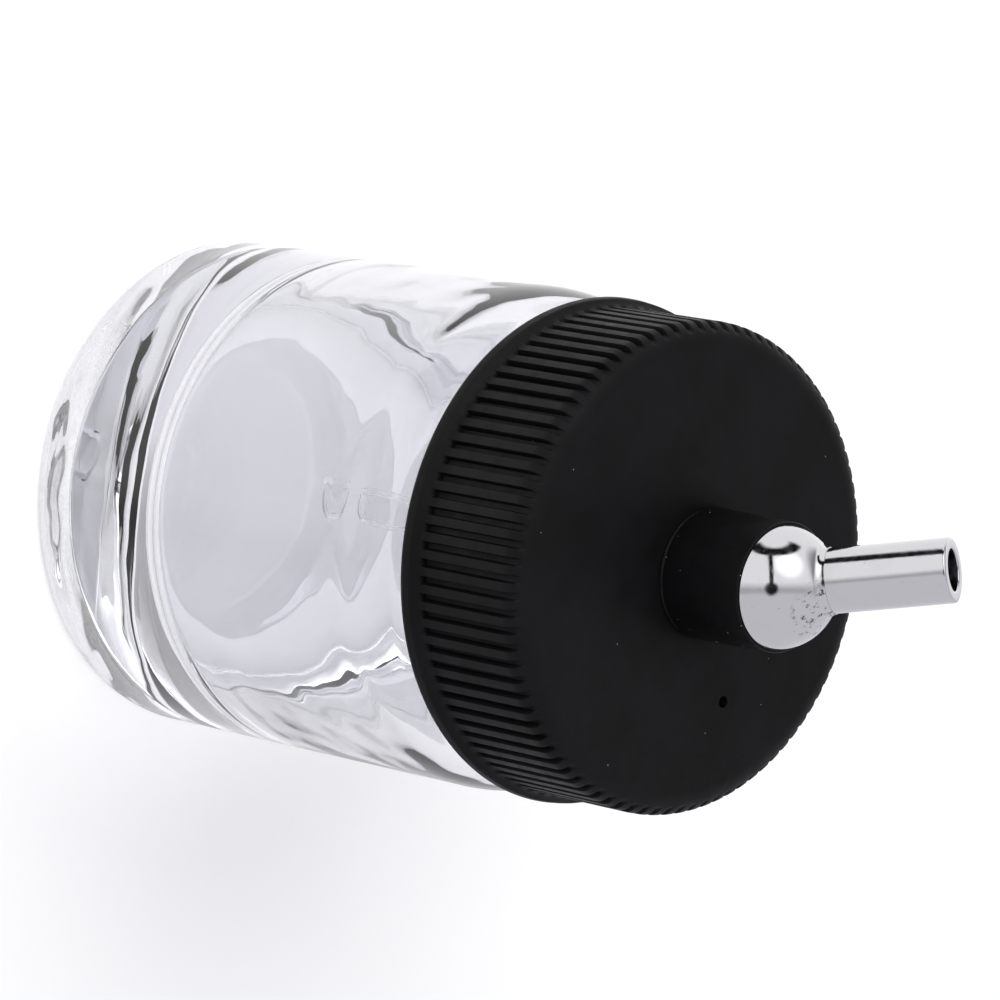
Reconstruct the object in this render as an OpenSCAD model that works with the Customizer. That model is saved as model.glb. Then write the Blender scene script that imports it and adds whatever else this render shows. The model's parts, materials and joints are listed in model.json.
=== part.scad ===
// Siphon jar for an airbrush: a small glass paint bottle with a ribbed screw cap. The cap carries
// a collar in which a ball elbow with a slanted spout swivels, and a pickup tube hangs from the elbow.
// Millimetres, +Z up. The origin is the centre of the bottle's foot, and +X is where the spout leans.

/* [Bottle] */
// Outside diameter of the glass body
bottle_d = 34.2; // [33.6:0.1:36]
// Height at which the straight glass wall ends and the shoulder begins
wall_top = 30.3; // [26.3:0.5:30.8]
// Height of the bottle's lip
lip_z = 44.4; // [44.3:0.1:46]
// Outside diameter of the neck, between its threads
neck_d = 25.8; // [25.4:0.1:26]
// Diameter of the clear bore of the neck
neck_bore_d = 21.8; // [20:0.1:22.2]
// Thickness of the glass wall
wall_t = 2.3; // [1.8:0.1:2.6]
// Thickness of the glass bottom at its edge
floor_t = 8.9; // [5.1:0.2:10.1]
// Diameter of the hollow under the bottom
punt_d = 21.2; // [16:0.2:26]
// Depth of the hollow under the bottom
punt_depth = 1.4; // [0.6:0.1:2]

/* [Screw thread] */
// Rise of the thread in one turn
pitch = 3; // [2.8:0.1:3.2]
// Turns of thread round the neck
neck_turns = 1.5; // [1.2:0.1:1.5]
// Turns of thread inside the cap
cap_turns = 1.25; // [1:0.05:1.3]
// How far the cap's thread lies under the neck's
thread_drop = 1.2; // [1.15:0.05:1.5]

/* [Cap] */
// Diameter of the smooth band round the mouth of the cap
band_d = 34; // [33.6:0.1:35]
// Diameter over the grip ribs
rib_tip_d = 32.8; // [32.6:0.1:33.2]
// Diameter at the bottom of the grooves between the ribs
rib_root_d = 31.8; // [31.6:0.1:32.2]
// Number of grip ribs
rib_count = 90; // [60:1:100]
// Diameter of the flat top of the cap, inside its rounded edge
face_d = 29.2; // [28.6:0.1:30]
// Height of the cap
cap_h = 10.3; // [9.6:0.1:10.4]
// Thickness of the top of the cap
cap_top_t = 1.6; // [1.2:0.1:1.8]
// Thickness of the sealing ring inside the cap
liner_t = 1; // [0.8:0.1:1.2]
// Diameter of the vent hole
vent_d = 0.8; // [0.6:0.1:1]
// Distance of the vent hole from the cap's axis
vent_r = 9.5; // [9.2:0.1:9.8]
// Direction of the vent hole from the cap's axis, in degrees from +X
vent_az = -91; // [-180:1:180]

/* [Collar] */
// Distance of the collar's axis from the cap's axis
collar_shift = 0.9; // [0:0.1:1]
// Direction in which the collar is off centre, in degrees from +X
collar_az = -32; // [-180:1:180]
// Diameter of the collar at its foot
collar_d = 8.8; // [8.6:0.1:9.2]
// Diameter of the collar at its rim
collar_rim_d = 8.6; // [8.5:0.1:9]
// Height of the collar's rim above the cap
collar_h = 7.05; // [6:0.05:8]

/* [Elbow and spout] */
// Diameter of the ball
ball_d = 8.4; // [8.2:0.1:8.6]
// Depth of the ball's centre below the collar's rim
ball_sink = 0.75; // [0.5:0.05:1]
// Outside diameter of the spout
spout_d = 4.3; // [4:0.1:4.6]
// Diameter of the spout's bore
spout_bore_d = 2.75; // [2.4:0.05:3]
// Lean of the spout away from upright, in degrees
spout_tilt = 30; // [20:1:40]
// Distance from the ball's centre to the tip of the spout
spout_reach = 12; // [10:0.5:14]

/* [Stem and pickup tube] */
// Diameter of the elbow's stem inside the collar
stem_d = 4.3; // [4.2:0.1:4.4]
// Diameter of the stem's bore
stem_bore_d = 2; // [1.6:0.1:2.2]
// Outside diameter of the pickup tube
tube_d = 3; // [2.8:0.1:3.2]
// Wall thickness of the pickup tube
tube_wall = 0.5; // [0.4:0.1:0.6]
// Gap between the cut end of the pickup tube and the bottle's floor
tube_gap = 0.8; // [0.6:0.1:4]

/* [Hidden] */
$fn = 96;
eps = 0.01;

// Bottle, as radii from its axis and heights from its foot
body_r = bottle_d / 2;
neck_r = neck_d / 2;
bore_r = neck_bore_d / 2;
inner_r = body_r - wall_t;
punt_r = punt_d / 2;
heel_r = 0.65;
shoulder_r = 12;
shoulder_turn = 22;
shoulder_end_r = 3;
shoulder_end_turn = 84;
inner_end_turn = 75;
corner_r = 3.3;
floor_rise = 0.7;
lip_outer_r = 0.8;
lip_inner_r = 0.5;
throat_r = 1.5;

// Thread ridges: depth, width at the wall, width at the crest, and how far they sink into the wall
ridge_depth = 0.95;
ridge_foot = 1.5;
ridge_crest = 0.7;
ridge_sink = 0.3;
ridge_steps = 36;
ridge_fade = 5;
neck_thread_z = 38.4;
cap_thread_lead = 100;

// Cap, as heights from the bottle's foot
cap_top = lip_z + liner_t + cap_top_t;
cap_foot = cap_top - cap_h;
cap_ceiling = cap_top - cap_top_t;
cap_bore_r = 14.3;
band_top = cap_foot + 0.85;
ledge_z = cap_foot + 1.5;
ledge_r = rib_tip_d / 2 + 0.1;
edge_w = 1.86;
edge_h = 1.4;
edge_turns = [0, 25, 50, 70, 90];
rib_foot_share = 0.58;
rib_shoulder_share = 0.46;
rib_tip_share = 0.2;
rib_shoulder_drop = 0.16;
mouth_chamfer = 0.3;
liner_r = 13.9;
liner_bore_r = 10.6;

// Collar, its seal and its nut
collar_x = collar_shift * cos(collar_az);
collar_y = collar_shift * sin(collar_az);
gasket_t = 0.3;
gasket_inset = 0.12;
collar_foot = cap_top + gasket_t;
collar_rim = cap_top + collar_h;
rim_chamfer = 0.12;
shank_r = 3.2;
cap_hole_r = 3.3;
shank_end = cap_ceiling - 2.9;
washer_t = 0.4;
washer_r = 5.5;
nut_h = 2;
nut_flats = 9;

// Elbow, its stem and its clip
ball_r = ball_d / 2;
ball_z = collar_rim - ball_sink;
ball_flat = collar_rim + 0.05;
spout_r = spout_d / 2;
spout_bore_r = spout_bore_d / 2;
spout_seat = 2.2;
spout_chamfer = 0.15;
bead_r = spout_r + 0.42;
bead_h = 0.85;
bead_foot = sqrt(ball_r * ball_r - bead_r * bead_r) - 0.25;
bead_end = bead_foot + bead_h;
spigot_r = spout_r - 0.2;
stem_r = stem_d / 2;
stem_bore_r = stem_bore_d / 2;
bore_meet_r = stem_bore_r + 0.2;
collar_bore_r = stem_r + 0.05;
stem_end = shank_end - 5.2;
socket_top = stem_end + 4.5;
ring_z = cap_top + 3;
ring_groove_r = stem_r - 0.6;
ring_wire_r = (collar_bore_r - 0.01 - ring_groove_r) / 2;
stem_washer_r = 3.6;
stem_washer_top = shank_end - 0.05;
clip_groove_top = stem_washer_top - washer_t;
clip_groove_r = stem_r - 0.35;
clip_groove_h = 0.55;
clip_r = 3.3;
clip_t = 0.5;
clip_gap = 2.6;

// Pickup tube
tube_r = tube_d / 2;
tube_cut = 35;
tube_end = floor_t + floor_rise + tube_gap;

// Points along an arc of a section, from one angle to another
function arc(cx, cz, r, from, to, steps = 10) = [
  for (i = [0:steps])
    let (a = from + (to - from) * i / steps)
    [cx + r * cos(a), cz + r * sin(a)]
];

// Points along a shallow dome of a given edge radius and height, from its edge to the axis
function dome(r, base, rise, steps = 10) =
  let (ball = (r * r + rise * rise) / (2 * rise))
  arc(0, base + rise - ball, ball, acos(r / ball), 90, steps);

function reversed(points) = [for (i = [len(points) - 1:-1:0]) points[i]];

// Section of a shoulder: a wide arc from the wall, then a tight one that turns in to the neck
function shoulder(r, first, second, last_turn) =
  let (cx = r - first, drop = first - second)
  concat(
    arc(cx, wall_top, first, 0, shoulder_turn),
    arc(
      cx + drop * cos(shoulder_turn), wall_top + drop * sin(shoulder_turn),
      second, shoulder_turn + 5, last_turn
    )
  );

module ring(inner, outer, h) {
  difference() {
    cylinder(r = outer, h = h);
    translate([0, 0, -eps]) cylinder(r = inner, h = h + 2 * eps);
  }
}

// Helical ridge on a wall of radius r, outwards or inwards, rising by the pitch in each turn
module thread_ridge(r, outwards, start_z, start_angle, turns) {
  side = outwards ? 1 : -1;
  count = round(ridge_steps * turns);
  function fade(i) = min(1, i / ridge_fade, (count - i) / ridge_fade);
  function section(i) =
    let (
      a = start_angle + 360 * turns * i / count,
      z = start_z + pitch * turns * i / count,
      root = r - side * ridge_sink,
      crest = root + side * (0.2 + (ridge_sink + ridge_depth - 0.2) * fade(i))
    )
    [
      [root * cos(a), root * sin(a), z - ridge_foot / 2],
      [root * cos(a), root * sin(a), z + ridge_foot / 2],
      [crest * cos(a), crest * sin(a), z + ridge_crest / 2],
      [crest * cos(a), crest * sin(a), z - ridge_crest / 2]
    ];
  points = [for (i = [0:count]) each section(i)];
  walls = [
    for (i = [0:count - 1], k = [0:3])
      let (a = 4 * i + k, b = 4 * i + (k + 1) % 4)
      each [[a, b, b + 4], [a, b + 4, a + 4]]
  ];
  ends = [[0, 2, 1], [0, 3, 2], [4 * count, 4 * count + 1, 4 * count + 2],
    [4 * count, 4 * count + 2, 4 * count + 3]];
  faces = concat(walls, ends);
  polyhedron(points, outwards ? [for (f = faces) reversed(f)] : faces);
}

module bottle() {
  color([0.86, 0.86, 0.9, 0.4]) {
    rotate_extrude() polygon(concat(
      reversed(dome(punt_r, 0, punt_depth)),
      arc(body_r - heel_r, heel_r, heel_r, -90, 0),
      shoulder(body_r, shoulder_r, shoulder_end_r, shoulder_end_turn),
      [[neck_r, wall_top + 6.5]],
      arc(neck_r - lip_outer_r, lip_z - lip_outer_r, lip_outer_r, 0, 90),
      arc(bore_r + lip_inner_r, lip_z - lip_inner_r, lip_inner_r, 90, 180),
      arc(bore_r + throat_r, wall_top + 6.45, throat_r, 180, 255),
      reversed(shoulder(inner_r, shoulder_r - wall_t, shoulder_end_r - 0.8, inner_end_turn)),
      arc(inner_r - corner_r, floor_t + corner_r, corner_r, 0, -90),
      dome(inner_r - corner_r - 0.1, floor_t, floor_rise)
    ));
    thread_ridge(neck_r, true, neck_thread_z, 0, neck_turns);
  }
}

// Outline of the cap across its ribs: each rib has a foot, a shoulder and a narrow tip
module ribbed_outline() {
  step = 360 / rib_count;
  foot = step * rib_foot_share / 2;
  shoulder = step * rib_shoulder_share / 2;
  tip = step * rib_tip_share / 2;
  root_r = rib_root_d / 2;
  tip_r = rib_tip_d / 2;
  polygon([
    for (k = [0:rib_count - 1])
      each [
        for (p = [
          [-foot, root_r], [-shoulder, tip_r - rib_shoulder_drop], [-tip, tip_r],
          [tip, tip_r], [shoulder, tip_r - rib_shoulder_drop], [foot, root_r]
        ])
          [p[1] * cos(k * step + p[0]), p[1] * sin(k * step + p[0])]
      ]
  ]);
}

module cap() {
  color([0.09, 0.09, 0.1]) {
    difference() {
      union() {
        intersection() {
          translate([0, 0, cap_foot + 0.5])
            linear_extrude(cap_h) ribbed_outline();
          rotate_extrude() polygon(concat(
            [[0, cap_foot], [ledge_r, cap_foot], [ledge_r, cap_top - edge_h - 0.2]],
            [for (a = edge_turns)
              [face_d / 2 + edge_w * cos(a), cap_top - edge_h + edge_h * sin(a)]],
            [[0, cap_top]]
          ));
        }
        rotate_extrude() polygon([
          [0, cap_foot], [band_d / 2 - 0.15, cap_foot], [band_d / 2, cap_foot + 0.2],
          [band_d / 2 - 0.05, band_top], [ledge_r, ledge_z - 0.2],
          [ledge_r - 0.3, ledge_z], [0, ledge_z]
        ]);
      }
      rotate_extrude() polygon([
        [0, cap_foot - 1], [cap_bore_r + mouth_chamfer + 0.5, cap_foot - 1],
        [cap_bore_r + mouth_chamfer, cap_foot], [cap_bore_r, cap_foot + mouth_chamfer],
        [cap_bore_r, cap_ceiling], [0, cap_ceiling]
      ]);
      translate([collar_x, collar_y, cap_ceiling - 1])
        cylinder(r = cap_hole_r, h = cap_top_t + 2);
      rotate(vent_az) translate([vent_r, 0, cap_ceiling - 1])
        cylinder(d = vent_d, h = cap_top_t + 2, $fn = 32);
    }
    thread_ridge(
      cap_bore_r, false, neck_thread_z + pitch * cap_thread_lead / 360 - thread_drop,
      cap_thread_lead, cap_turns
    );
  }
}

module cap_liner() {
  color([0.92, 0.92, 0.9])
    translate([0, 0, lip_z]) ring(liner_bore_r, liner_r, liner_t);
}

// What sits on the collar's axis
module at_collar() {
  translate([collar_x, collar_y, 0]) children();
}

module collar() {
  color([0.05, 0.05, 0.055])
    at_collar() rotate_extrude() polygon([
      [collar_bore_r, shank_end], [shank_r - 0.2, shank_end], [shank_r, shank_end + 0.2],
      [shank_r, collar_foot], [collar_d / 2, collar_foot],
      [collar_rim_d / 2, collar_rim - rim_chamfer],
      [collar_rim_d / 2 - rim_chamfer, collar_rim], [collar_bore_r, collar_rim]
    ]);
}

module collar_gasket() {
  color([0.02, 0.02, 0.02])
    at_collar() translate([0, 0, cap_top])
      ring(shank_r, collar_d / 2 - gasket_inset, gasket_t);
}

module collar_washer() {
  color([0.75, 0.75, 0.76])
    at_collar() translate([0, 0, cap_ceiling - washer_t])
      ring(shank_r, washer_r, washer_t);
}

module collar_nut() {
  color([0.08, 0.08, 0.09])
    at_collar() translate([0, 0, cap_ceiling - washer_t - nut_h])
      difference() {
        intersection() {
          cylinder(d = nut_flats / cos(30), h = nut_h, $fn = 6);
          rotate_extrude() polygon([
            [0, 0], [nut_flats / 2, 0], [nut_flats / 2 + 0.75, 0.4],
            [nut_flats / 2 + 0.75, nut_h], [0, nut_h]
          ]);
        }
        translate([0, 0, -eps]) cylinder(r = shank_r, h = nut_h + 2 * eps);
      }
}

// What points along the spout, from the centre of the ball
module along_spout() {
  translate([collar_x, collar_y, ball_z]) rotate([0, spout_tilt, 0]) children();
}

module ball_elbow() {
  color([0.86, 0.86, 0.88])
    difference() {
      union() {
        intersection() {
          translate([collar_x, collar_y, ball_z]) sphere(r = ball_r);
          translate([collar_x, collar_y, ball_flat]) cylinder(r = ball_r + 1, h = ball_d);
        }
        at_collar() rotate_extrude() polygon([
          [0, stem_end], [stem_r - 0.2, stem_end], [stem_r, stem_end + 0.2],
          [stem_r, clip_groove_top - clip_groove_h], [clip_groove_r, clip_groove_top - clip_groove_h],
          [clip_groove_r, clip_groove_top], [stem_r, clip_groove_top],
          [stem_r, ring_z - ring_wire_r - 0.1], [ring_groove_r, ring_z - ring_wire_r - 0.1],
          [ring_groove_r, ring_z + ring_wire_r + 0.1], [stem_r, ring_z + ring_wire_r + 0.1],
          [stem_r, ball_flat + 0.5], [0, ball_flat + 0.5]
        ]);
        along_spout() rotate_extrude() polygon([
          [spout_r - 0.4, bead_foot], [bead_r, bead_foot],
          [spout_r + 0.06, bead_end], [spout_r - 0.4, bead_end]
        ]);
      }
      at_collar() translate([0, 0, stem_end - 1])
        cylinder(r = stem_bore_r, h = ball_z - stem_end + 1);
      at_collar() translate([0, 0, stem_end - 1])
        cylinder(r = tube_r, h = socket_top - stem_end + 1);
      along_spout() sphere(r = bore_meet_r);
      along_spout() cylinder(r = stem_bore_r, h = spout_seat + 1);
      along_spout() translate([0, 0, spout_seat]) cylinder(r = spigot_r, h = spout_reach);
    }
}

// Spout: its root is turned down to a spigot that sits in the ball
module spout_tube() {
  color([0.86, 0.86, 0.88])
    along_spout() rotate_extrude() polygon([
      [spout_bore_r, spout_seat], [spigot_r, spout_seat], [spigot_r, bead_end],
      [spout_r, bead_end], [spout_r, spout_reach - spout_chamfer], [spout_r - spout_chamfer, spout_reach],
      [spout_bore_r + 0.1, spout_reach], [spout_bore_r, spout_reach - 0.1]
    ]);
}

module stem_o_ring() {
  color([0.03, 0.03, 0.03])
    at_collar() translate([0, 0, ring_z])
      rotate_extrude() translate([ring_groove_r + ring_wire_r, 0]) circle(r = ring_wire_r, $fn = 32);
}

module stem_washer() {
  color([0.9, 0.9, 0.88])
    at_collar() translate([0, 0, stem_washer_top - washer_t])
      ring(stem_r, stem_washer_r, washer_t);
}

// Spring clip in the stem's groove: a ring that is open on one side
module stem_clip() {
  color([0.7, 0.7, 0.72])
    at_collar() translate([0, 0, clip_groove_top - clip_t])
      difference() {
        ring(clip_groove_r, clip_r, clip_t);
        translate([0, -clip_gap / 2, -1]) cube([clip_r + 1, clip_gap, clip_t + 2]);
      }
}

module pickup_tube() {
  color([0.9, 0.92, 0.95, 0.6])
    at_collar() difference() {
      translate([0, 0, tube_end])
        ring(tube_r - tube_wall, tube_r, socket_top - tube_end);
      translate([-tube_r, 0, tube_end])
        rotate([0, -tube_cut, 0]) translate([-tube_d, -tube_d, -3 * tube_d])
          cube([4 * tube_d, 2 * tube_d, 3 * tube_d]);
    }
}

bottle();
cap();
cap_liner();
collar();
collar_gasket();
collar_washer();
collar_nut();
ball_elbow();
spout_tube();
stem_o_ring();
stem_washer();
stem_clip();
pickup_tube();
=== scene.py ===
"""The looks of a siphon jar for an airbrush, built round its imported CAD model.

Shapes are worked out in millimetres from the frame's own boxes and mounts, and stored in metres.
"""

import json
import math

import bmesh
import bpy
import numpy as np
from mathutils import Matrix, Vector


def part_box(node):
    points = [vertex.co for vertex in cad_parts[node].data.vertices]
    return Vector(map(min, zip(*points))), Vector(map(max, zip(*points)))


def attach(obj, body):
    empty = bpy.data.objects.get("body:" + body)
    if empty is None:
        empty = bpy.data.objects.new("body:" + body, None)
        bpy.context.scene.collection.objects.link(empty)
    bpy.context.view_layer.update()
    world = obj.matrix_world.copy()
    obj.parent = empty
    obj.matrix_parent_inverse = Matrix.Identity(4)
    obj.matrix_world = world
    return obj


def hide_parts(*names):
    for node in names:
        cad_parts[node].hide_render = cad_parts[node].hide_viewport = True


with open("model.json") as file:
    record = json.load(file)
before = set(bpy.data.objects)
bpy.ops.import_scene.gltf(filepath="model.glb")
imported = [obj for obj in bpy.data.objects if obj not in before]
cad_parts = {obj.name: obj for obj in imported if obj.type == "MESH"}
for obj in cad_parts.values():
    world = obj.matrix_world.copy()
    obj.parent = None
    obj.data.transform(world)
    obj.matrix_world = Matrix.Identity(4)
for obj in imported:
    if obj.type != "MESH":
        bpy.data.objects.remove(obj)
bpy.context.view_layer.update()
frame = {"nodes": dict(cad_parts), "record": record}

MM = 0.001


# ---------------------------------------------------------------- sizes from the frame

def box_mm(node):
    """Lowest and highest corner of a CAD node, in millimetres."""
    low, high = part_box(node)
    return Vector(low) / MM, Vector(high) / MM


bottle_high = box_mm("bottle")[1]
cap_low, cap_high = box_mm("cap")
collar_low, collar_high = box_mm("collar")
gasket_low, gasket_high = box_mm("collar_gasket")
elbow_low = box_mm("ball_elbow")[0]
liner_low, liner_high = box_mm("cap_liner")
nut_low, nut_high = box_mm("collar_nut")
tube_low, tube_high = box_mm("pickup_tube")

BODY_R = bottle_high.x
LIP_Z = bottle_high.z
BAND_R = cap_high.x
CAP_FOOT = cap_low.z
CAP_TOP = cap_high.z
CAP_CEILING = liner_high.z
AXIS_X = (collar_low.x + collar_high.x) / 2
AXIS_Y = (collar_low.y + collar_high.y) / 2
COLLAR_R = (collar_high.x - collar_low.x) / 2
RIM_Z = collar_high.z
SHANK_END = collar_low.z

spout_mount = next(m for m in frame["record"]["mounts"] if m["name"] == "spout")
SPOUT_MIDDLE = Vector(spout_mount["pos_m"]) / MM
SPOUT_WALL = spout_mount["dims"]["length_mm"]
TIP_ROUND = 0.15
SPOUT_AXIS = Vector(spout_mount["axis"]).normalized()
SPOUT_R = spout_mount["dims"]["r_mm"]
screw = next(c for c in frame["record"]["behaviour"]["couplings"] if c["joint"] == "cap_rise")
PITCH = screw["ratio"] * 2 * math.pi / MM


# ---------------------------------------------------------------- meshes

def arc(cx, cz, radius, start, end, steps):
    """Points along an arc of a section, angles in degrees."""
    return [
        (cx + radius * math.cos(math.radians(a)), cz + radius * math.sin(math.radians(a)))
        for a in np.linspace(start, end, steps + 1)
    ]


def rounded(corners, steps=5, loop=True):
    """A section through corners (radius, height, fillet), with each corner rounded by its fillet."""
    points, count = [], len(corners)
    for i, (r, z, fillet) in enumerate(corners):
        here = Vector((r, z))
        if fillet <= 0 or (not loop and i in (0, count - 1)):
            points.append((r, z))
            continue
        before = Vector(corners[i - 1][:2]) - here
        after = Vector(corners[(i + 1) % count][:2]) - here
        half = before.angle(after) / 2
        reach = min(fillet / math.tan(half), before.length * 0.49, after.length * 0.49)
        start = here + before.normalized() * reach
        end = here + after.normalized() * reach
        for t in np.linspace(0, 1, steps + 1):
            point = start * (1 - t) ** 2 + here * (2 * t * (1 - t)) + end * t * t
            points.append((point.x, point.y))
    return points


def resampled(points, step):
    """The same line with extra points, so that no stretch is longer than step."""
    line = [points[0]]
    for a, b in zip(points, points[1:]):
        parts = max(1, math.ceil(math.dist(a, b) / step))
        line += [(a[0] + (b[0] - a[0]) * k / parts, a[1] + (b[1] - a[1]) * k / parts)
                 for k in range(1, parts + 1)]
    return line


def grid_mesh(name, rows, loop=False, start_pole=False, end_pole=False):
    """A closed skin through rows of points (rows x columns x 3, in millimetres).
    With loop, the last row joins the first. A pole closes an end with a fan to its first point."""
    count, columns = rows.shape[:2]
    points = rows.reshape(-1, 3)
    right = np.roll(np.arange(columns), -1)
    quads = []
    for i in range(count if loop else count - 1):
        low, high = i * columns, (i + 1) % count * columns
        quads.append(np.stack([low + np.arange(columns), low + right,
                               high + right, high + np.arange(columns)], 1))
    faces = np.concatenate(quads).tolist()
    for wanted, first in ((start_pole, 0), (end_pole, (count - 1) * columns)):
        if wanted:
            points = np.vstack([points, points[first:first + columns].mean(0)])
            tip = len(points) - 1
            faces += [[first + a, first + int(b), tip] for a, b in zip(range(columns), right)]
    mesh = bpy.data.meshes.new(name)
    mesh.from_pydata((points * MM).tolist(), [], faces)
    return finished(mesh)


def finished(mesh, sharp_angle=38):
    """Outward faces, smooth shading and sharp edges past an angle."""
    work = bmesh.new()
    work.from_mesh(mesh)
    bmesh.ops.recalc_face_normals(work, faces=work.faces)
    work.to_mesh(mesh)
    work.free()
    mesh.shade_smooth()
    mesh.set_sharp_from_angle(angle=math.radians(sharp_angle))
    return mesh


def turned(section, columns, centre=(0.0, 0.0), shape=None):
    """Rows of points for a section of (radius, height) turned about an upright axis.
    shape(radius, height, angle) may give new radii and heights for each point."""
    angle = np.linspace(0, 2 * math.pi, columns, endpoint=False)[None, :]
    radius = np.array([p[0] for p in section])[:, None] + 0 * angle
    height = np.array([p[1] for p in section])[:, None] + 0 * angle
    if shape:
        radius, height = shape(radius, height, angle + 0 * radius)
    return np.stack([centre[0] + radius * np.cos(angle),
                     centre[1] + radius * np.sin(angle), height], -1)


def piece(name, mesh, body, nodes, material):
    """A shown piece that rides on a body, stands for CAD nodes and has a finish."""
    made = bpy.data.objects.new(name, mesh)
    bpy.context.scene.collection.objects.link(made)
    mesh.materials.append(material)
    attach(made, body)
    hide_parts(*nodes)
    return made


def joined(name, meshes):
    """One mesh of several closed shells."""
    work = bmesh.new()
    for mesh in meshes:
        work.from_mesh(mesh)
    mesh = bpy.data.meshes.new(name)
    work.to_mesh(mesh)
    work.free()
    return finished(mesh)


def smoothstep(low, high, x):
    t = np.clip((x - low) / (high - low), 0, 1)
    return t * t * (3 - 2 * t)


# ---------------------------------------------------------------- material nodes

class Tree:
    """A small helper that adds nodes to a node tree and wires them."""

    def __init__(self, tree):
        self.tree = tree
        tree.nodes.clear()

    def add(self, kind, inputs=None, **settings):
        made = self.tree.nodes.new("ShaderNode" + kind)
        for key, value in settings.items():
            setattr(made, key, value)
        for key, value in (inputs or {}).items():
            if isinstance(value, bpy.types.NodeSocket):
                self.tree.links.new(value, made.inputs[key])
            else:
                made.inputs[key].default_value = value
        return made

    def math(self, operation, a, b=0.0):
        return self.add("Math", {0: a, 1: b}, operation=operation).outputs[0]

    def ramp(self, value, low, high, to_low=0.0, to_high=1.0):
        """value from low to high as a smooth step from to_low to to_high."""
        return self.add(
            "MapRange",
            {"Value": value, "From Min": low, "From Max": high, "To Min": to_low, "To Max": to_high},
            interpolation_type="SMOOTHSTEP",
        ).outputs[0]

    def place(self):
        return self.add("TexCoord").outputs["Object"]

    def noise(self, scale, detail=3.0, vector=None, roughness=0.5):
        """Noise of a scale in cells for each metre."""
        return self.add(
            "TexNoise",
            {"Vector": vector or self.place(), "Scale": scale, "Detail": detail,
             "Roughness": roughness},
        ).outputs["Fac"]

    def cells(self, scale, vector=None):
        """Distance to the nearest cell point, and a random number for each cell."""
        made = self.add("TexVoronoi", {"Vector": vector or self.place(), "Scale": scale})
        random = self.add("SeparateColor", {"Color": made.outputs["Color"]}).outputs[0]
        return made.outputs["Distance"], random

    def specks(self, scale, size, share):
        """1 on small round specks, on a share of the cells, and 0 between them."""
        distance, random = self.cells(scale)
        dot = self.ramp(distance, size * 0.7, size, 1.0, 0.0)
        chosen = self.math("LESS_THAN", random, share)
        return self.math("MULTIPLY", dot, chosen)

    def bump(self, height, distance, strength=1.0, normal=None):
        inputs = {"Height": height, "Distance": distance, "Strength": strength}
        if normal:
            inputs["Normal"] = normal
        return self.add("Bump", inputs).outputs[0]

    def output(self, surface):
        self.add("OutputMaterial", {"Surface": surface})


def mixed(tree, factor, a, b):
    """Colour mix; the sockets of a colour Mix node are found by type."""
    made = tree.tree.nodes.new("ShaderNodeMix")
    made.data_type = "RGBA"
    sockets = [s for s in made.inputs if s.type == "RGBA"]
    for socket, value in ((made.inputs["Factor"], factor), (sockets[0], a), (sockets[1], b)):
        if isinstance(value, bpy.types.NodeSocket):
            tree.tree.links.new(value, socket)
        else:
            socket.default_value = value
    return next(s for s in made.outputs if s.type == "RGBA")


def new_material(name):
    material = bpy.data.materials.new(name)
    material.use_nodes = True
    return material, Tree(material.node_tree)


def grey(level, blue=1.0):
    return (level, level, level * blue, 1.0)


def black_plastic(name, level, roughness, specular, dust, grain=0.012):
    """Black moulded plastic: uneven tone, fine grain, and a few specks of pale dust."""
    material, tree = new_material(name)
    tone = tree.ramp(tree.noise(220), 0.3, 0.7)
    colour = mixed(tree, tone, grey(level * 0.8, 1.1), grey(level * 1.2, 1.14))
    specks = tree.specks(900, 0.085, dust)
    lint = tree.specks(2600, 0.11, dust * 0.6)
    spots = tree.math("MAXIMUM", specks, lint)
    colour = mixed(tree, spots, colour, grey(0.34))
    rough = tree.ramp(tree.noise(900, 5), 0.25, 0.75, roughness - 0.06, roughness + 0.07)
    fine = tree.noise(14000, 2)
    broad = tree.noise(1700, 3)
    normal = tree.bump(fine, grain * MM, 0.55)
    normal = tree.bump(broad, 0.02 * MM, 0.5, normal)
    surface = tree.add("BsdfPrincipled", {
        "Base Color": colour, "Roughness": rough, "Specular IOR Level": specular, "Normal": normal,
    })
    tree.output(surface.outputs[0])
    return material


def clear_material(name, tint, index, waviness, haze):
    """Clear glass or plastic with a wavy skin. Lamps shine through it."""
    material, tree = new_material(name)
    wave = tree.noise(95, 2)
    ripple = tree.noise(420, 1)
    normal = tree.bump(wave, waviness * MM, 0.8)
    normal = tree.bump(ripple, waviness * 0.04 * MM, 0.5, normal)
    rough = tree.ramp(tree.noise(500, 4), 0.45, 0.8, haze * 0.3, haze)
    body = tree.add("BsdfPrincipled", {
        "Base Color": tint, "Roughness": rough, "Normal": normal,
        "IOR": index, "Transmission Weight": 1.0,
    })
    clear = tree.add("BsdfTransparent", {"Color": grey(0.95)})
    lamp = tree.add("LightPath").outputs["Is Shadow Ray"]
    surface = tree.add("MixShader", {0: lamp, 1: body.outputs[0], 2: clear.outputs[0]})
    tree.output(surface.outputs[0])
    return material


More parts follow.
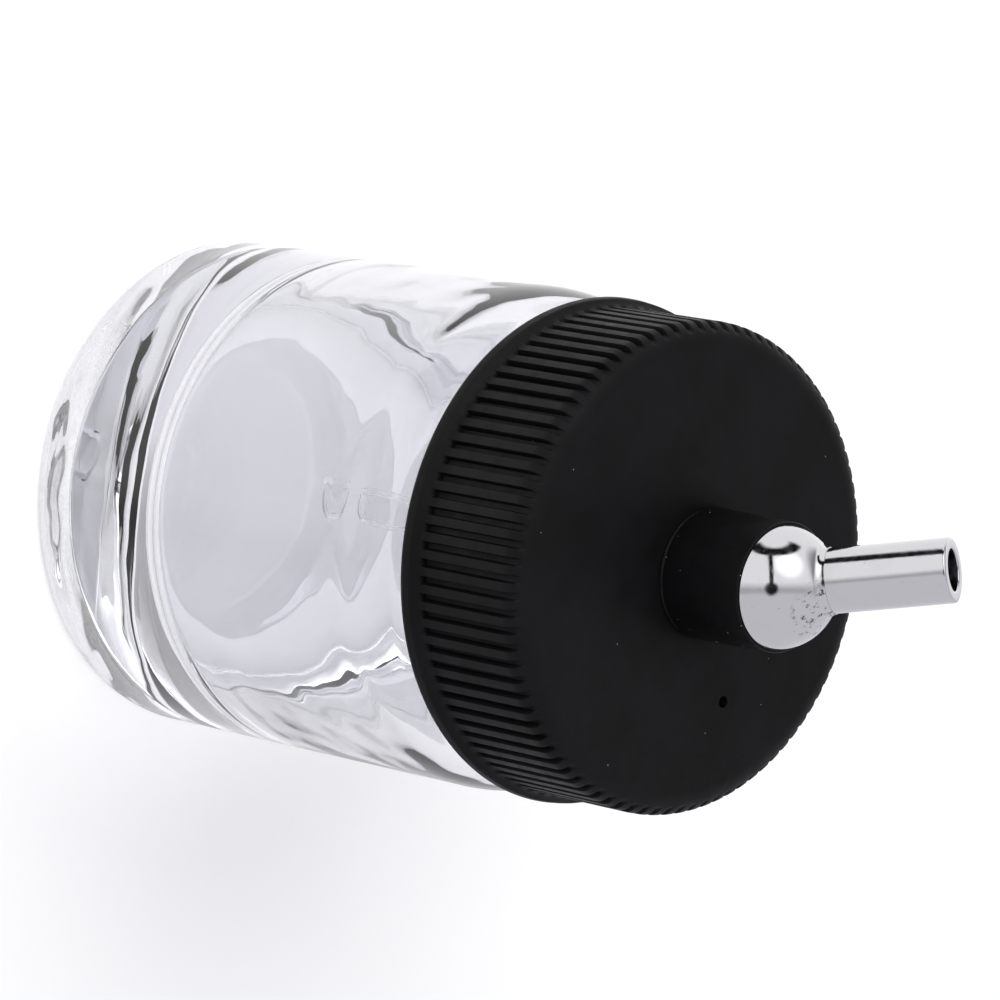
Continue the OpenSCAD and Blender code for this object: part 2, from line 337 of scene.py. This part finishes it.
def chrome(name, tint, pit_centre=None, pit_reach=3.6, brushed=False):
    """Bright plate: faint ripples, tiny pits all over, and more of them round one spot."""
    material, tree = new_material(name)
    place = tree.place()
    height = tree.noise(1500, 3)
    rough = tree.ramp(tree.noise(2600, 5), 0.3, 0.75, 0.05, 0.15)
    pits = tree.specks(5200, 0.16, 0.05)
    if pit_centre is not None:
        offset = tree.add("VectorMath", {0: place, 1: pit_centre * MM}, operation="DISTANCE")
        near = tree.ramp(offset.outputs["Value"], 0.0, pit_reach * MM, 1.0, 0.0)
        eaten = tree.ramp(tree.noise(2300, 6, roughness=0.7), 0.56, 0.62)
        pits = tree.math("MAXIMUM", pits, tree.math("MULTIPLY", eaten, tree.ramp(near, 0.25, 0.6)))
        rough = tree.math("ADD", rough, tree.math("MULTIPLY", near, 0.12))
    colour = mixed(tree, pits, tint, grey(0.1))
    tarnish = tree.ramp(tree.noise(350, 4), 0.55, 0.85, 0.0, 0.35)
    colour = mixed(tree, tarnish, colour, (tint[0] * 0.72, tint[1] * 0.7, tint[2] * 0.68, 1.0))
    normal = tree.bump(height, 0.006 * MM, 0.6)
    normal = tree.bump(tree.math("SUBTRACT", 1.0, pits), 0.03 * MM, 0.8, normal)
    if brushed:
        along = tree.add("Mapping", {"Vector": place, "Scale": (1.0, 1.0, 0.08)})
        along.inputs["Rotation"].default_value = (0.0, -math.acos(SPOUT_AXIS.z), 0.0)
        lines = tree.noise(9000, 2, along.outputs[0])
        normal = tree.bump(lines, 0.0025 * MM, 0.5, normal)
    surface = tree.add("BsdfPrincipled", {
        "Base Color": colour, "Metallic": 1.0, "Roughness": rough, "Normal": normal,
    })
    tree.output(surface.outputs[0])
    return material


def plain_finish(name, low, high, roughness, scale, relief, metallic=0.0):
    """A finish with a mottled tone and a fine relief, for washers, seals and the liner."""
    material, tree = new_material(name)
    colour = mixed(tree, tree.ramp(tree.noise(scale, 4), 0.3, 0.7), low, high)
    rough = tree.ramp(tree.noise(scale * 2, 3), 0.3, 0.7, roughness * 0.85, roughness * 1.15)
    normal = tree.bump(tree.noise(scale * 3, 4), relief * MM, 0.6)
    surface = tree.add("BsdfPrincipled", {
        "Base Color": colour, "Metallic": metallic, "Roughness": rough, "Normal": normal,
    })
    tree.output(surface.outputs[0])
    return material


# ---------------------------------------------------------------- bottle

WALL_T = 2.3
WALL_TOP = 30.3
FLOOR_Z = 8.9
FLOOR_RISE = 0.7
PUNT_R = 10.6
PUNT_DEPTH = 1.4
HEEL_R = 0.65
NECK_R = 12.9
BORE_R = 10.9
NECK_THREAD_Z = 38.4
NECK_THREAD_TURNS = 1.5
RIDGE_DEPTH = 0.95
RIDGE_FOOT = 1.5
RIDGE_CREST = 0.7


def ridge(height, angle, start_z, lead, turns):
    """How far a screw ridge stands out, from 0 to 1, at each height and angle."""
    best = np.zeros_like(height)
    for lap in range(3):
        turn = angle / (2 * math.pi) + lap
        centre = start_z + PITCH * (turn - lead)
        off = np.abs(height - centre)
        rise = smoothstep(RIDGE_FOOT / 2, RIDGE_CREST / 2 * 0.8, off)
        fade = smoothstep(0, 0.14, turn - lead) * smoothstep(0, 0.14, lead + turns - turn)
        best = np.maximum(best, rise * fade)
    return best


def shoulder(radius, first, second, last_turn, turn=22.0):
    """The wide arc and the tight arc that lead from the wall to the neck."""
    cx = radius - first
    drop = first - second
    a = math.radians(turn)
    return (arc(cx, WALL_TOP, first, 0, turn, 12)
            + arc(cx + drop * math.cos(a), WALL_TOP + drop * math.sin(a), second,
                  turn + 3, last_turn, 18))


def dome(radius, base, rise, steps=14):
    """From the edge of a shallow dome to near its axis."""
    ball = (radius ** 2 + rise ** 2) / (2 * rise)
    return arc(0, base + rise - ball, ball, math.degrees(math.acos(radius / ball)), 89.9, steps)


def bottle_section():
    inner_r = BODY_R - WALL_T
    corner = 3.3
    outside = (
        dome(PUNT_R, 0, PUNT_DEPTH)[::-1]
        + arc(BODY_R - HEEL_R, HEEL_R, HEEL_R, -90, 0, 14)
        + shoulder(BODY_R, 12.0, 3.0, 84.0)
        + [(NECK_R + 0.25, WALL_TOP + 6.42), (NECK_R, WALL_TOP + 6.7)]
        + arc(NECK_R - 0.8, LIP_Z - 0.8, 0.8, 0, 90, 8)
    )
    inside = (
        arc(BORE_R + 0.5, LIP_Z - 0.5, 0.5, 90, 180, 6)
        + arc(BORE_R + 1.5, WALL_TOP + 6.45, 1.5, 180, 255, 12)
        + shoulder(inner_r, 12.0 - WALL_T, 2.2, 75.0)[::-1]
        + arc(inner_r - corner, FLOOR_Z + corner, corner, 0, -90, 16)
        + dome(inner_r - corner - 0.1, FLOOR_Z, FLOOR_RISE)
    )
    return resampled(outside, 0.4), resampled(inside, 0.4)


def bottle_shape(outer_rows):
    """Adds the screw ridge outside, and inside the uneven skin that blown glass has."""
    def shape(radius, height, angle):
        row = np.arange(len(radius))[:, None]
        outside = row < outer_rows
        on_neck = outside & (radius > NECK_R - 0.02) & (height > WALL_TOP + 6.5)
        stand = ridge(height, angle, NECK_THREAD_Z, 0.0, NECK_THREAD_TURNS)
        new_radius = np.where(on_neck, radius + RIDGE_DEPTH * stand, radius)
        wave = (0.6 * np.sin(2 * angle + 0.10 * height + 0.7)
                + 0.4 * np.sin(3 * angle - 0.22 * height + 2.1))
        share = smoothstep(2.0, 8.0, radius) * smoothstep(LIP_Z - 5, LIP_Z - 9, height)
        new_radius = np.where(outside, new_radius, new_radius + 0.10 * wave * share)
        on_floor = (~outside) & (height < FLOOR_Z + 3.0)
        dip = 0.12 * wave * smoothstep(0.5, 7.0, radius)
        return new_radius, np.where(on_floor, height + dip, height)
    return shape


def make_bottle(material):
    outside, inside = bottle_section()
    rows = turned(outside + inside, 288, shape=bottle_shape(len(outside)))
    mesh = grid_mesh("bottle_glass", rows, start_pole=True, end_pole=True)
    return piece("bottle_glass", mesh, "jar", ["bottle"], material)


# ---------------------------------------------------------------- cap

RIBS = 90
RIB_COLUMNS = (-0.5, -0.37, -0.335, -0.295, -0.25, -0.12, 0.0, 0.12, 0.25, 0.295, 0.335, 0.37)
RIB_R = 16.4
GROOVE_R = 15.9
FACE_R = 14.6
EDGE_W = RIB_R - FACE_R
EDGE_H = 1.4
CAP_BORE_R = 14.3
CAP_THREAD_LEAD = 100 / 360
CAP_THREAD_TURNS = 1.25
THREAD_DROP = 1.2
VENT_R = 0.4
COLLAR_HOLE_R = 3.3
VENT_PLACE = (9.5, -91.0)


def rib_share(phase):
    """1 on a rib's crest and 0 on the groove's floor; phase runs from -0.5 to 0.5 over a rib."""
    return smoothstep(0.345, 0.245, np.abs(phase))


def cap_rows():
    """Sections along a rib and along a groove, row for row, from the mouth over the band to the face."""
    foot, top = CAP_FOOT, CAP_TOP
    band = rounded([(14.6, foot, 0), (BAND_R - 0.1, foot, 0.18), (BAND_R, foot + 0.3, 0.2),
                    (BAND_R - 0.06, foot + 0.85, 0.25), (BAND_R - 0.3, foot + 1.02, 0)], 4, False)
    rib = [(BAND_R - 0.38, foot + 1.1), (BAND_R - 0.5, foot + 1.22), (RIB_R + 0.03, foot + 1.38),
           (RIB_R, foot + 1.55), (RIB_R, foot + 1.7), (RIB_R, foot + 1.9)]
    groove = [(BAND_R - 0.38, foot + 1.1), (BAND_R - 0.48, foot + 1.2), (RIB_R - 0.04, foot + 1.34),
              (RIB_R - 0.2, foot + 1.4), (GROOVE_R + 0.05, foot + 1.46), (GROOVE_R, foot + 1.62)]
    for z in np.linspace(foot + 2.4, top - EDGE_H, 12):
        rib.append((RIB_R, z))
        groove.append((GROOVE_R, z))

    def edge(turn):
        return (FACE_R + EDGE_W * math.cos(math.radians(turn)),
                top - EDGE_H + EDGE_H * math.sin(math.radians(turn)))

    rib += [edge(t) for t in np.linspace(6, 48, 8)]
    end_r, end_z = edge(53)
    groove += [(GROOVE_R, z) for z in np.linspace(top - 1.25, top - 0.72, 4)]
    groove += [(GROOVE_R * (1 - t) + end_r * t - 0.02 * t * (1 - t), top - 0.58 + (end_z - top + 0.58) * t)
               for t in (0.1, 0.35, 0.6, 0.85)]
    rounding = [edge(t) for t in np.linspace(53, 90, 9)]
    return band, rib, groove, rounding


def make_cap(material):
    band, rib, groove, rounding = cap_rows()
    phase = np.tile(np.array(RIB_COLUMNS), RIBS)
    angle = (np.repeat(np.arange(RIBS), len(RIB_COLUMNS)) + phase) * 2 * math.pi / RIBS
    share = rib_share(phase)
    across = np.stack([np.cos(angle), np.sin(angle)], -1)
    centre = np.array([AXIS_X, AXIS_Y])

    def ring(radius, height):
        flat = across * np.broadcast_to(np.asarray(radius, float), angle.shape)[:, None]
        return np.column_stack([flat, np.broadcast_to(np.asarray(height, float), angle.shape)])

    rows = [ring(r, z) for r, z in band]
    for (rib_r, rib_z), (groove_r, groove_z) in zip(rib, groove):
        rows.append(ring(groove_r + (rib_r - groove_r) * share,
                         groove_z + (rib_z - groove_z) * share))
    rows += [ring(r, z) for r, z in rounding]

    edge, hole = across * FACE_R, centre + across * COLLAR_HOLE_R
    for t, drop in ((0.25, 0), (0.5, 0), (0.75, 0), (0.97, 0), (1.0, 0.08)):
        flat = edge * (1 - t) + hole * t
        rows.append(np.column_stack([flat, np.full(len(angle), CAP_TOP - drop)]))
    inner = across * (CAP_BORE_R - 0.3)
    for t in (1.0, 0.6, 0.3, 0.0):
        flat = inner * (1 - t) + hole * t
        rows.append(np.column_stack([flat, np.full(len(angle), CAP_CEILING)]))
    start_z = NECK_THREAD_Z + PITCH * CAP_THREAD_LEAD - THREAD_DROP
    turn = np.mod(angle, 2 * math.pi)
    for z in np.linspace(CAP_CEILING - 0.3, CAP_FOOT + 0.35, 34):
        stand = ridge(np.full(len(angle), z), turn, start_z, CAP_THREAD_LEAD, CAP_THREAD_TURNS)
        rows.append(ring(CAP_BORE_R - RIDGE_DEPTH * stand, z))
    mesh = grid_mesh("cap_shell", np.array(rows), loop=True)
    made = piece("cap_shell", mesh, "lid", ["cap"], material)
    return drilled(made)


def drilled(cap):
    """The vent hole, cut through the cap's face."""
    radius, azimuth = VENT_PLACE
    place = Vector((radius * math.cos(math.radians(azimuth)),
                    radius * math.sin(math.radians(azimuth)), 0))
    section = [(VENT_R, CAP_CEILING - 1), (VENT_R, CAP_TOP + 1)]
    drill_mesh = grid_mesh("vent_drill", turned(section, 40, place[:2]),
                           start_pole=True, end_pole=True)
    drill = bpy.data.objects.new("vent_drill", drill_mesh)
    bpy.context.scene.collection.objects.link(drill)
    cut = cap.modifiers.new("vent", "BOOLEAN")
    cut.object = drill
    cut.solver = "EXACT"
    bpy.context.view_layer.update()
    evaluated = cap.evaluated_get(bpy.context.evaluated_depsgraph_get())
    mesh = bpy.data.meshes.new_from_object(evaluated)
    cap.modifiers.clear()
    cap.data = mesh
    cap.data.name = "cap_shell"
    bpy.data.objects.remove(drill)
    mesh.shade_smooth()
    mesh.set_sharp_from_angle(angle=math.radians(38))
    return cap


# ---------------------------------------------------------------- collar, seals and nut

def ring_mesh(name, corners, columns=160, steps=5):
    """A closed ring turned about the collar's axis, with rounded corners."""
    rows = turned(rounded(corners, steps), columns, (AXIS_X, AXIS_Y))
    return grid_mesh(name, rows, loop=True)


COLLAR_BORE_R = 2.2
SHANK_R = 3.2
GASKET_R = (gasket_high.x - gasket_low.x) / 2
RIM_R = COLLAR_R - 0.1


def make_collar(material):
    mesh = ring_mesh("collar_bush", [
        (COLLAR_BORE_R, SHANK_END, 0.1), (SHANK_R, SHANK_END, 0.2), (SHANK_R, gasket_high.z, 0.05),
        (COLLAR_R, gasket_high.z, 0.12), (RIM_R, RIM_Z, 0.14), (COLLAR_BORE_R, RIM_Z, 0.1),
    ])
    return piece("collar_bush", mesh, "lid", ["collar"], material)


def make_gasket(material):
    mesh = ring_mesh("collar_seal", [
        (SHANK_R, gasket_low.z, 0.02), (GASKET_R, gasket_low.z, 0.08),
        (GASKET_R, gasket_high.z, 0.08), (SHANK_R, gasket_high.z, 0.02),
    ])
    return piece("collar_seal", mesh, "lid", ["collar_gasket"], material)


def make_nut(material):
    """The hexagonal nut, with its corners turned down at the bottom."""
    flats = (nut_high.y - nut_low.y) / 2
    columns = 144
    angle = np.linspace(0, 2 * math.pi, columns, endpoint=False)
    sector = np.mod(angle + math.pi / 6, math.pi / 3) - math.pi / 6
    side = np.mod(angle, math.pi / 3) - math.pi / 6
    hexagon = np.minimum(flats / np.cos(side), flats / math.cos(math.pi / 6) - 0.06)
    low, high = nut_low.z, nut_high.z

    def ring(radius, height):
        return np.column_stack([AXIS_X + radius * np.cos(angle), AXIS_Y + radius * np.sin(angle),
                                np.full(columns, height)])

    turned_down = np.minimum(hexagon, flats * 1.01)
    rows = [
        ring(np.full(columns, SHANK_R), low), ring(turned_down - 0.25, low),
        ring(turned_down - 0.05, low + 0.06), ring(np.minimum(hexagon, flats * 1.06), low + 0.22),
        ring(hexagon - 0.01, low + 0.5), ring(hexagon, low + 0.8), ring(hexagon, high - 0.1),
        ring(hexagon - 0.1, high), ring(np.full(columns, SHANK_R), high),
    ]
    mesh = grid_mesh("thin_nut", np.array(rows), loop=True)
    return piece("thin_nut", mesh, "lid", ["collar_nut"], material)


def make_liner(material):
    low, high = liner_low.z, liner_high.z
    outer = liner_high.x
    section = rounded([(10.6, low, 0.2), (outer, low, 0.25), (outer, high, 0.25), (10.6, high, 0.2)])
    mesh = grid_mesh("sealing_ring", turned(section, 192), loop=True)
    return piece("sealing_ring", mesh, "seal", ["cap_liner"], material)


# ---------------------------------------------------------------- elbow, spout and pickup tube

BALL_R = 4.2
BALL_SINK = 0.75
BALL_Z = RIM_Z - BALL_SINK
BALL_CENTRE = Vector((AXIS_X, AXIS_Y, BALL_Z))
BALL_FLAT = RIM_Z + 0.05
SPOUT_SEAT = 2.2
SPOUT_BORE_R = 1.375
SPOUT_TIP = (SPOUT_MIDDLE - BALL_CENTRE).length + SPOUT_WALL / 2 + TIP_ROUND
BEAD_END = SPOUT_TIP - TIP_ROUND - SPOUT_WALL
SPIGOT_R = SPOUT_R - 0.2
STEM_R = 2.15
STEM_BORE_R = 1.0
TUBE_WALL = 0.5
TUBE_SLANT = 35


def along_spout(rows):
    """Turns rows made about +Z at the origin onto the spout's axis, from the ball's centre."""
    turn = np.array(Vector((0, 0, 1)).rotation_difference(SPOUT_AXIS).to_matrix())
    return rows @ turn.T + np.array(BALL_CENTRE)


def make_elbow(material):
    bead_r = SPOUT_R + 0.42
    foot = math.degrees(math.acos(bead_r / BALL_R))
    ball = arc(0, 0, BALL_R, -89.9, foot, 80)
    start = Vector(ball[-1])
    middle = Vector((SPOUT_R + 0.12, start.y + 0.16))
    end = Vector((SPOUT_R + 0.05, BEAD_END))
    fillet = [tuple(start * (1 - t) ** 2 + middle * 2 * t * (1 - t) + end * t * t)
              for t in np.linspace(0.1, 1, 9)]
    socket = [(SPIGOT_R, BEAD_END), (SPIGOT_R, SPOUT_SEAT), (STEM_BORE_R, SPOUT_SEAT),
              (STEM_BORE_R, 1.25)]
    head = grid_mesh("head", along_spout(turned(ball + fillet + socket, 192)),
                     start_pole=True, end_pole=True)
    work = bmesh.new()
    work.from_mesh(head)
    everything = work.verts[:] + work.edges[:] + work.faces[:]
    cut = bmesh.ops.bisect_plane(work, geom=everything, plane_co=(0, 0, BALL_FLAT * MM),
                                 plane_no=(0, 0, 1), clear_inner=True)
    rim = [e for e in cut["geom_cut"] if isinstance(e, bmesh.types.BMEdge)]
    bmesh.ops.holes_fill(work, edges=rim)
    work.to_mesh(head)
    work.free()
    stem_end = elbow_low.z
    clip_low, clip_high = box_mm("stem_clip")
    groove_r = STEM_R - 0.35
    ring_low, ring_high = box_mm("stem_o_ring")
    stem = rounded([
        (STEM_BORE_R, stem_end, 0), (STEM_R, stem_end, 0.2),
        (STEM_R, clip_low.z, 0), (groove_r, clip_low.z, 0),
        (groove_r, clip_high.z, 0), (STEM_R, clip_high.z, 0),
        (STEM_R, ring_low.z - 0.1, 0), (STEM_R - 0.6, ring_low.z - 0.1, 0),
        (STEM_R - 0.6, ring_high.z + 0.1, 0), (STEM_R, ring_high.z + 0.1, 0),
        (STEM_R, BALL_FLAT + 0.12, 0), (STEM_BORE_R, BALL_FLAT + 0.12, 0),
    ])
    shaft = grid_mesh("shaft", turned(stem, 96, (AXIS_X, AXIS_Y)), loop=True)
    mesh = joined("elbow_head", [head, shaft])
    return piece("elbow_head", mesh, "elbow", ["ball_elbow"], material)


def make_spout(material):
    tip = SPOUT_TIP
    section = rounded([
        (SPOUT_BORE_R, SPOUT_SEAT, 0), (SPIGOT_R, SPOUT_SEAT, 0), (SPIGOT_R, BEAD_END, 0),
        (SPOUT_R, BEAD_END, 0), (SPOUT_R, tip, 0.2), (SPOUT_BORE_R, tip, 0.12),
    ], 6)
    mesh = grid_mesh("spout_pipe", along_spout(turned(section, 160)), loop=True)
    return piece("spout_pipe", mesh, "elbow", ["spout_tube"], material)


def make_pickup(material):
    """The pickup tube, with its lower end cut on a slant."""
    outer = (tube_high.x - tube_low.x) / 2
    inner = outer - TUBE_WALL
    low, high = tube_low.z, tube_high.z
    section = resampled(rounded([(inner, low, 0.05), (outer, low, 0.05),
                                 (outer, high, 0.05), (inner, high, 0.05)]), 0.8)
    section.append(section[0])
    section = resampled(section, 0.8)[:-1]
    slope = math.tan(math.radians(TUBE_SLANT))

    def slant(radius, height, angle):
        cut = low + slope * (outer - radius * np.cos(angle))
        near = smoothstep(low + 2.2, low, height)
        return radius, height + (cut - low) * near

    mesh = grid_mesh("pickup_pipe", turned(section, 96, (AXIS_X, AXIS_Y), slant), loop=True)
    return piece("pickup_pipe", mesh, "elbow", ["pickup_tube"], material)


def dress(node, material):
    """A CAD node that keeps its own mesh and gets a finish, with its edges softened."""
    kept = frame["nodes"][node]
    kept.data.materials.clear()
    kept.data.materials.append(material)
    soften = kept.modifiers.new("edges", "BEVEL")
    soften.width = 0.05 * MM
    soften.segments = 2
    soften.limit_method = "ANGLE"


# ---------------------------------------------------------------- the pieces

rubber = plain_finish("seal_rubber", grey(0.008), grey(0.016), 0.55, 1800, 0.01)
steel = plain_finish("washer_steel", grey(0.45), grey(0.6), 0.3, 2500, 0.004, 1.0)
nylon = plain_finish("slip_plastic", (0.78, 0.78, 0.74, 1), (0.86, 0.86, 0.82, 1), 0.4, 900, 0.01)
foam = plain_finish("liner_foam", (0.76, 0.76, 0.74, 1), (0.88, 0.88, 0.86, 1), 0.75, 3500, 0.05)

make_bottle(clear_material("clear_glass", (0.82, 0.82, 0.85, 1), 1.5, 0.2, 0.02))
make_cap(black_plastic("cap_plastic", 0.0045, 0.5, 0.1, 0.012))
make_collar(black_plastic("collar_plastic", 0.0038, 0.42, 0.1, 0.10))
make_gasket(rubber)
make_nut(black_plastic("nut_plastic", 0.02, 0.45, 0.4, 0.02))
make_liner(foam)
pit_spot = BALL_CENTRE + BALL_R * Vector((-0.1, -0.25, 0.96)).normalized()
make_elbow(chrome("elbow_chrome", (0.55, 0.545, 0.56, 1), pit_spot))
make_spout(chrome("spout_chrome", (0.55, 0.545, 0.56, 1), brushed=True))
make_pickup(clear_material("clear_tube", (0.985, 0.985, 0.99, 1), 1.06, 0.03, 0.04))
dress("collar_washer", steel)
dress("stem_clip", steel)
dress("stem_o_ring", rubber)
dress("stem_washer", nylon)


# ---------------------------------------------------------------- floor, light and camera

VIEW_AZIMUTH = 148.7
VIEW_ELEVATION = 45.3
VIEW_ROLL = 100.43
VIEW_DISTANCE = 437.6
VIEW_LENS = 235.0
VIEW_AIM = Vector((-0.83, 3.13, 30.19))
EXPOSURE = 0.34


def towards(azimuth, elevation):
    """Unit vector at an azimuth from +X and an elevation above the floor, in degrees."""
    a, e = math.radians(azimuth), math.radians(elevation)
    return Vector((math.cos(a) * math.cos(e), math.sin(a) * math.cos(e), math.sin(e)))


def make_camera():
    data = bpy.data.cameras.new("camera")
    data.lens = VIEW_LENS
    data.sensor_width = 36.0
    data.clip_start = 0.01
    data.clip_end = 20.0
    camera = bpy.data.objects.new("camera", data)
    bpy.context.scene.collection.objects.link(camera)
    back = towards(VIEW_AZIMUTH, VIEW_ELEVATION)
    camera.location = (VIEW_AIM + back * VIEW_DISTANCE) * MM
    camera.rotation_mode = "QUATERNION"
    level = back.to_track_quat("Z", "Y").to_matrix()
    camera.rotation_quaternion = (
        level @ Matrix.Rotation(math.radians(VIEW_ROLL), 3, "Z")).to_quaternion()
    bpy.context.scene.camera = camera
    axes = camera.rotation_quaternion.to_matrix()
    return axes.col[0].copy(), axes.col[1].copy(), axes.col[2].copy()


FLOOR_HALF = 3.0


def make_floor():
    """A pale floor that glows faintly under the jar, as a light table does. It doesn't show in
    mirror reflections, which see the studio instead."""
    mesh = bpy.data.meshes.new("floor")
    corners = [(-FLOOR_HALF, -FLOOR_HALF, 0), (FLOOR_HALF, -FLOOR_HALF, 0),
               (FLOOR_HALF, FLOOR_HALF, 0), (-FLOOR_HALF, FLOOR_HALF, 0)]
    mesh.from_pydata(corners, [], [(0, 1, 2, 3)])
    floor = bpy.data.objects.new("floor", mesh)
    bpy.context.scene.collection.objects.link(floor)
    material, tree = new_material("floor_paper")
    near = mixed(tree, tree.noise(60, 3), grey(0.9), grey(0.93))
    away = tree.add("VectorMath", {0: tree.place()}, operation="LENGTH").outputs["Value"]
    # painted pool of light: the paper's colour is paler near the jar and greyer and bluer away from it
    tone = mixed(tree, tree.ramp(away, 0.16, 0.5), near, grey(0.8, 1.03))
    glow = tree.ramp(away, 0.008, 0.028, 0.25, 0.04)
    surface = tree.add("BsdfPrincipled", {
        "Base Color": tone, "Roughness": 0.9, "Specular IOR Level": 0.1,
        "Emission Color": grey(1.0), "Emission Strength": glow})
    tree.output(surface.outputs[0])
    mesh.materials.append(material)
    floor.visible_glossy = False


PALE = (0.68, 0.675, 0.715, 1)
WINDOW_GLOW = 1.6
BLACK = 0.012


def make_world(right, up, back):
    """A studio that is fixed in space: pale below and white above, with a bright window, a dim
    corner, and a black bar, post and stand that the chrome reflects as thin dark lines."""
    world = bpy.data.worlds.new("studio")
    bpy.context.scene.world = world
    world.use_nodes = True
    tree = Tree(world.node_tree)
    direction = tree.add("TexCoord").outputs["Generated"]

    def lean(vector):
        made = tree.add("VectorMath", {0: direction, 1: vector}, operation="DOT_PRODUCT")
        return made.outputs["Value"]

    def lobe(vector, inner, outer):
        vector = vector.normalized()
        return tree.ramp(lean(vector), math.cos(math.radians(outer)),
                         math.cos(math.radians(inner)))

    def band(vector, middle, width, soft):
        """1 on a thin band of directions that lean alike towards a vector."""
        off = tree.math("ABSOLUTE", tree.math("SUBTRACT", lean(vector), middle))
        return tree.ramp(off, width, width + soft, 1.0, 0.0)

    def aimed(across, upwards, outwards):
        """A direction given across, up and towards the viewer, as the camera lies at rest."""
        return (right * across + up * upwards + back * outwards).normalized()

    sky = tree.ramp(lean(up), -0.05, 0.15)
    colour = mixed(tree, sky, PALE, grey(1.0, 1.01))
    horizon = band(up, -0.13, 0.03, 0.1)
    window = lobe(aimed(0.36, 0.62, 0.68), 14, 30)
    corner = lobe(aimed(0.9, 0.3, -0.1), 14, 34)
    colour = mixed(tree, horizon, colour, grey(0.5, 1.03))
    colour = mixed(tree, window, colour, grey(WINDOW_GLOW))
    colour = mixed(tree, corner, colour, grey(0.3, 1.03))
    bar = tree.math("MULTIPLY", band(up, 0.89, 0.04, 0.04), tree.ramp(lean(back), -0.1, 0.02))
    post = tree.math("MULTIPLY", band(right, -0.15, 0.035, 0.06), tree.ramp(lean(up), -0.12, -0.04))
    post = tree.math("MULTIPLY", post, tree.ramp(lean(back), 0.25, 0.35))
    stand = lobe(aimed(-0.15, -0.075, 0.985), 7, 15)
    dark = tree.math("MAXIMUM", tree.math("MAXIMUM", bar, post), stand)
    colour = mixed(tree, dark, colour, grey(BLACK))
    background = tree.add("Background", {"Color": colour, "Strength": 1.0})
    tree.add("OutputWorld", {"Surface": background.outputs[0]})


def softbox(name, direction, distance, width, height, power):
    """A large area light that faces the jar and doesn't show in mirror reflections."""
    data = bpy.data.lights.new(name, "AREA")
    data.shape = "RECTANGLE"
    data.size = width
    data.size_y = height
    data.energy = power
    lamp = bpy.data.objects.new(name, data)
    bpy.context.scene.collection.objects.link(lamp)
    direction = direction.normalized()
    lamp.visible_glossy = False
    lamp.location = Vector((0, 0, 0.03)) + direction * distance
    lamp.rotation_mode = "QUATERNION"
    lamp.rotation_quaternion = direction.to_track_quat("Z", "Y")


right, up, back = make_camera()
make_floor()
make_world(right, up, back)
softbox("key_light", towards(75, 45), 0.9, 0.85, 0.85, 2.4)
softbox("side_light", towards(124, 13), 0.9, 0.6, 0.6, 1.0)
bpy.context.scene.view_settings.view_transform = "Standard"
bpy.context.scene.view_settings.exposure = EXPOSURE
